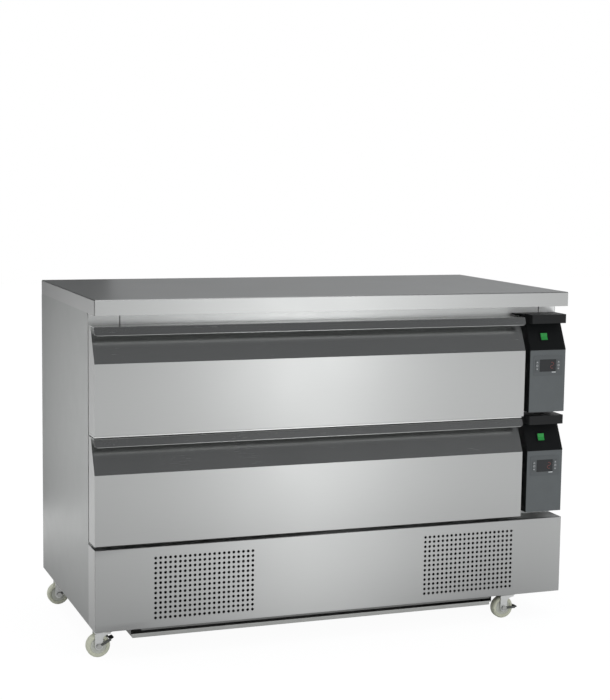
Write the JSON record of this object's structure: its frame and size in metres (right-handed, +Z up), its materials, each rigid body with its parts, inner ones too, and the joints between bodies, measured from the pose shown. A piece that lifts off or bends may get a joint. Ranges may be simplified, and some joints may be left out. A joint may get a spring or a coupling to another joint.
{
  "type": "refrigerated drawer counter",
  "caption": "Low refrigerated counter on braked casters with wide lipped drawers, side control modules and a grilled plinth.",
  "frame": {"origin": "on the floor under the middle of the whole object's bounding box", "axes": "+Z up, -Y towards the drawer fronts, +X to the right seen from the front, where the controls are"},
  "size_m": [1.3784, 0.7, 0.945],
  "materials": {
    "stainless_sheet": "brushed",
    "cabinet_steel": "satin",
    "inner_liner": "satin",
    "foam_liner": "matt",
    "seal_rubber": "matt",
    "zinc_steel": "satin",
    "black_plastic": "satin",
    "grey_plastic": "satin",
    "dark_window": "gloss",
    "green_lens": "gloss",
    "key_plastic": "satin",
    "fin_aluminium": "satin",
    "fan_plastic": "matt",
    "compressor_black": "gloss",
    "wheel_tread": "matt"
  },
  "bodies": {
    "cabinet": {"worktop": "stainless_sheet", "left_side_panel": "cabinet_steel", "right_side_panel": "cabinet_steel", "back_panel": "cabinet_steel", "cabinet_floor": "inner_liner", "drawer_divider": "inner_liner", "ceiling_panel": "inner_liner", "front_frame": "stainless_sheet", "fixed_runners": "zinc_steel", "duct_panels": "inner_liner", "evaporator_coils": "fin_aluminium", "condenser_coils": "fin_aluminium", "fan_shrouds": "zinc_steel", "compressors": "compressor_black", "control_housings": "black_plastic", "control_faceplates": "grey_plastic", "thermostat_cases": "black_plastic", "thermostat_windows": "dark_window", "switch_frames": "black_plastic", "plinth_front": "stainless_sheet", "base_tray": "zinc_steel", "rear_cover": "cabinet_steel", "under_rails": "zinc_steel", "condensate_tray": "zinc_steel", "caster_plates": "zinc_steel"},
    "drawer_lower": {"drawer_skin_lower": "stainless_sheet", "drawer_liner_lower": "foam_liner", "drawer_gasket_lower": "seal_rubber", "drawer_bin_lower": "inner_liner", "drawer_carriage_lower": "zinc_steel"},
    "runner_lower": {"runner_middle_lower": "zinc_steel"},
    "evaporator_fan_lower": {"evaporator_fan_lower": "fan_plastic"},
    "power_switch_lower": {"power_switch_lower": "green_lens"},
    "key_left_lower": {"key_left_lower": "key_plastic"},
    "key_right_lower": {"key_right_lower": "key_plastic"},
    "drawer_upper": {"drawer_skin_upper": "stainless_sheet", "drawer_liner_upper": "foam_liner", "drawer_gasket_upper": "seal_rubber", "drawer_bin_upper": "inner_liner", "drawer_carriage_upper": "zinc_steel"},
    "runner_upper": {"runner_middle_upper": "zinc_steel"},
    "evaporator_fan_upper": {"evaporator_fan_upper": "fan_plastic"},
    "power_switch_upper": {"power_switch_upper": "green_lens"},
    "key_left_upper": {"key_left_upper": "key_plastic"},
    "key_right_upper": {"key_right_upper": "key_plastic"},
    "condenser_fan_left": {"condenser_fan_left": "fan_plastic"},
    "condenser_fan_right": {"condenser_fan_right": "fan_plastic"},
    "caster_fork_front_left": {"caster_fork_front_left": "zinc_steel"},
    "caster_wheel_front_left": {"caster_wheel_front_left": "wheel_tread"},
    "caster_brake_front_left": {"caster_brake_front_left": "zinc_steel"},
    "caster_fork_front_right": {"caster_fork_front_right": "zinc_steel"},
    "caster_wheel_front_right": {"caster_wheel_front_right": "wheel_tread"},
    "caster_brake_front_right": {"caster_brake_front_right": "zinc_steel"},
    "caster_fork_rear_left": {"caster_fork_rear_left": "zinc_steel"},
    "caster_wheel_rear_left": {"caster_wheel_rear_left": "wheel_tread"},
    "caster_brake_rear_left": {"caster_brake_rear_left": "zinc_steel"},
    "caster_fork_rear_right": {"caster_fork_rear_right": "zinc_steel"},
    "caster_wheel_rear_right": {"caster_wheel_rear_right": "wheel_tread"},
    "caster_brake_rear_right": {"caster_brake_rear_right": "zinc_steel"}
  },
  "joints": [
    {"name": "drawer_slide_lower", "type": "slide", "parent": "cabinet", "child": "drawer_lower", "axis": [0, -1, 0], "range_m": [0, 0.52]},
    {"name": "runner_slide_lower", "type": "slide", "parent": "cabinet", "child": "runner_lower", "axis": [0, -1, 0], "range_m": [0, 0.26]},
    {"name": "evaporator_fan_spin_lower", "type": "hinge", "parent": "cabinet", "child": "evaporator_fan_lower", "pos_m": [0.51325, 0.03, 0.44475], "axis": [1, 0, 0], "continuous": true},
    {"name": "power_switch_rock_lower", "type": "hinge", "parent": "cabinet", "child": "power_switch_lower", "pos_m": [0.62425, -0.32628, 0.52684], "axis": [1, 0, 0], "range_deg": [-14, 0]},
    {"name": "key_press_left_lower", "type": "slide", "parent": "cabinet", "child": "key_left_lower", "axis": [0, 1, 0], "range_m": [0, 0.001], "stiffness_N_per_m": 400},
    {"name": "key_press_right_lower", "type": "slide", "parent": "cabinet", "child": "key_right_lower", "axis": [0, 1, 0], "range_m": [0, 0.001], "stiffness_N_per_m": 400},
    {"name": "drawer_slide_upper", "type": "slide", "parent": "cabinet", "child": "drawer_upper", "axis": [0, -1, 0], "range_m": [0, 0.52]},
    {"name": "runner_slide_upper", "type": "slide", "parent": "cabinet", "child": "runner_upper", "axis": [0, -1, 0], "range_m": [0, 0.26]},
    {"name": "evaporator_fan_spin_upper", "type": "hinge", "parent": "cabinet", "child": "evaporator_fan_upper", "pos_m": [0.51325, 0.03, 0.73325], "axis": [1, 0, 0], "continuous": true},
    {"name": "power_switch_rock_upper", "type": "hinge", "parent": "cabinet", "child": "power_switch_upper", "pos_m": [0.62425, -0.32628, 0.81534], "axis": [1, 0, 0], "range_deg": [-14, 0]},
    {"name": "key_press_left_upper", "type": "slide", "parent": "cabinet", "child": "key_left_upper", "axis": [0, 1, 0], "range_m": [0, 0.001], "stiffness_N_per_m": 400},
    {"name": "key_press_right_upper", "type": "slide", "parent": "cabinet", "child": "key_right_upper", "axis": [0, 1, 0], "range_m": [0, 0.001], "stiffness_N_per_m": 400},
    {"name": "condenser_fan_spin_left", "type": "hinge", "parent": "cabinet", "child": "condenser_fan_left", "pos_m": [-0.37975, -0.216, 0.175], "axis": [0, 1, 0], "continuous": true},
    {"name": "condenser_fan_spin_right", "type": "hinge", "parent": "cabinet", "child": "condenser_fan_right", "pos_m": [0.39525, -0.216, 0.175], "axis": [0, 1, 0], "continuous": true},
    {"name": "caster_swivel_front_left", "type": "hinge", "parent": "cabinet", "child": "caster_fork_front_left", "pos_m": [-0.63575, -0.302, 0.0677], "axis": [0, 0, 1], "continuous": true},
    {"name": "caster_roll_front_left", "type": "hinge", "parent": "caster_fork_front_left", "child": "caster_wheel_front_left", "pos_m": [-0.65775, -0.302, 0.0315], "axis": [0, 1, 0], "continuous": true},
    {"name": "caster_brake_press_front_left", "type": "hinge", "parent": "caster_fork_front_left", "child": "caster_brake_front_left", "pos_m": [-0.65775, -0.302, 0.0315], "axis": [0, 1, 0], "range_deg": [0, 28]},
    {"name": "caster_swivel_front_right", "type": "hinge", "parent": "cabinet", "child": "caster_fork_front_right", "pos_m": [0.55125, -0.302, 0.0677], "axis": [0, 0, 1], "continuous": true},
    {"name": "caster_roll_front_right", "type": "hinge", "parent": "caster_fork_front_right", "child": "caster_wheel_front_right", "pos_m": [0.52925, -0.302, 0.0315], "axis": [0, 1, 0], "continuous": true},
    {"name": "caster_brake_press_front_right", "type": "hinge", "parent": "caster_fork_front_right", "child": "caster_brake_front_right", "pos_m": [0.52925, -0.302, 0.0315], "axis": [0, 1, 0], "range_deg": [-28, 0]},
    {"name": "caster_swivel_rear_left", "type": "hinge", "parent": "cabinet", "child": "caster_fork_rear_left", "pos_m": [-0.63575, 0.22, 0.0677], "axis": [0, 0, 1], "continuous": true},
    {"name": "caster_roll_rear_left", "type": "hinge", "parent": "caster_fork_rear_left", "child": "caster_wheel_rear_left", "pos_m": [-0.65775, 0.22, 0.0315], "axis": [0, 1, 0], "continuous": true},
    {"name": "caster_brake_press_rear_left", "type": "hinge", "parent": "caster_fork_rear_left", "child": "caster_brake_rear_left", "pos_m": [-0.65775, 0.22, 0.0315], "axis": [0, 1, 0], "range_deg": [0, 28]},
    {"name": "caster_swivel_rear_right", "type": "hinge", "parent": "cabinet", "child": "caster_fork_rear_right", "pos_m": [0.55125, 0.22, 0.0677], "axis": [0, 0, 1], "continuous": true},
    {"name": "caster_roll_rear_right", "type": "hinge", "parent": "caster_fork_rear_right", "child": "caster_wheel_rear_right", "pos_m": [0.52925, 0.22, 0.0315], "axis": [0, 1, 0], "continuous": true},
    {"name": "caster_brake_press_rear_right", "type": "hinge", "parent": "caster_fork_rear_right", "child": "caster_brake_rear_right", "pos_m": [0.52925, 0.22, 0.0315], "axis": [0, 1, 0], "range_deg": [0, 28]}
  ],
  "couplings": [
    {"joint": "runner_slide_lower", "follows": "drawer_slide_lower", "ratio": 0.5},
    {"joint": "runner_slide_upper", "follows": "drawer_slide_upper", "ratio": 0.5}
  ]
}
